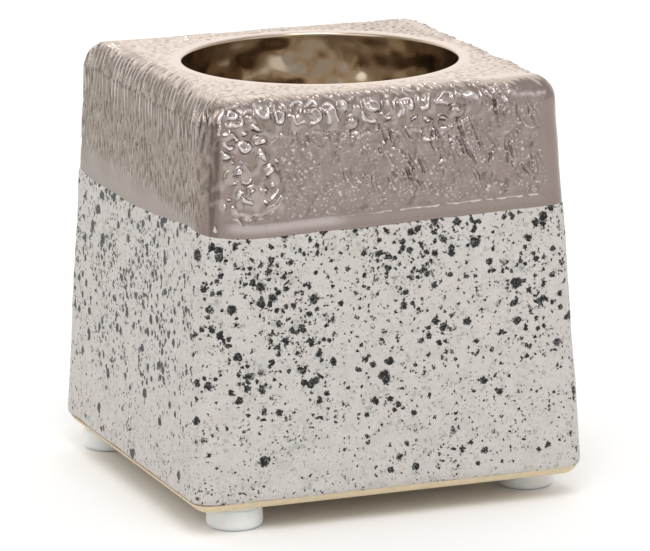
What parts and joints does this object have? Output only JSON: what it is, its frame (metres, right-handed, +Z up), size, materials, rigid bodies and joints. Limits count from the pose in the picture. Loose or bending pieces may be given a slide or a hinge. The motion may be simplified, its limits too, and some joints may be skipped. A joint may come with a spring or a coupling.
{
  "type": "tealight holder",
  "caption": "Square glazed stoneware tealight holder that narrows towards the top, with a round well, a metallic band over a speckled white base, and small clear feet.",
  "frame": {"origin": "centre of the block's square footprint, on the surface that the feet stand on", "axes": "+Z up through the well, +X to the right and +Y to the back of the block"},
  "size_m": [0.0698, 0.0698, 0.0721],
  "materials": {
    "bare_stoneware": "unglazed, matt, fine grained tan stoneware",
    "speckled_white_glaze": "satin off-white glaze with black and grey-green speckles",
    "metallic_glaze": "textured pewter-coloured metallic glaze",
    "mirror_glaze": "smooth bronze mirror glaze",
    "clear_silicone": "milky clear soft silicone",
    "adhesive_film": "clear adhesive film"
  },
  "bodies": {
    "root": {"clay_body": "bare_stoneware", "speckled_glaze": "speckled_white_glaze", "metallic_glaze": "metallic_glaze", "well_glaze": "mirror_glaze", "foot_front_left": "clear_silicone", "foot_front_right": "clear_silicone", "foot_back_left": "clear_silicone", "foot_back_right": "clear_silicone", "film_front_left": "adhesive_film", "film_front_right": "adhesive_film", "film_back_left": "adhesive_film", "film_back_right": "adhesive_film"}
  },
  "joints": []
}
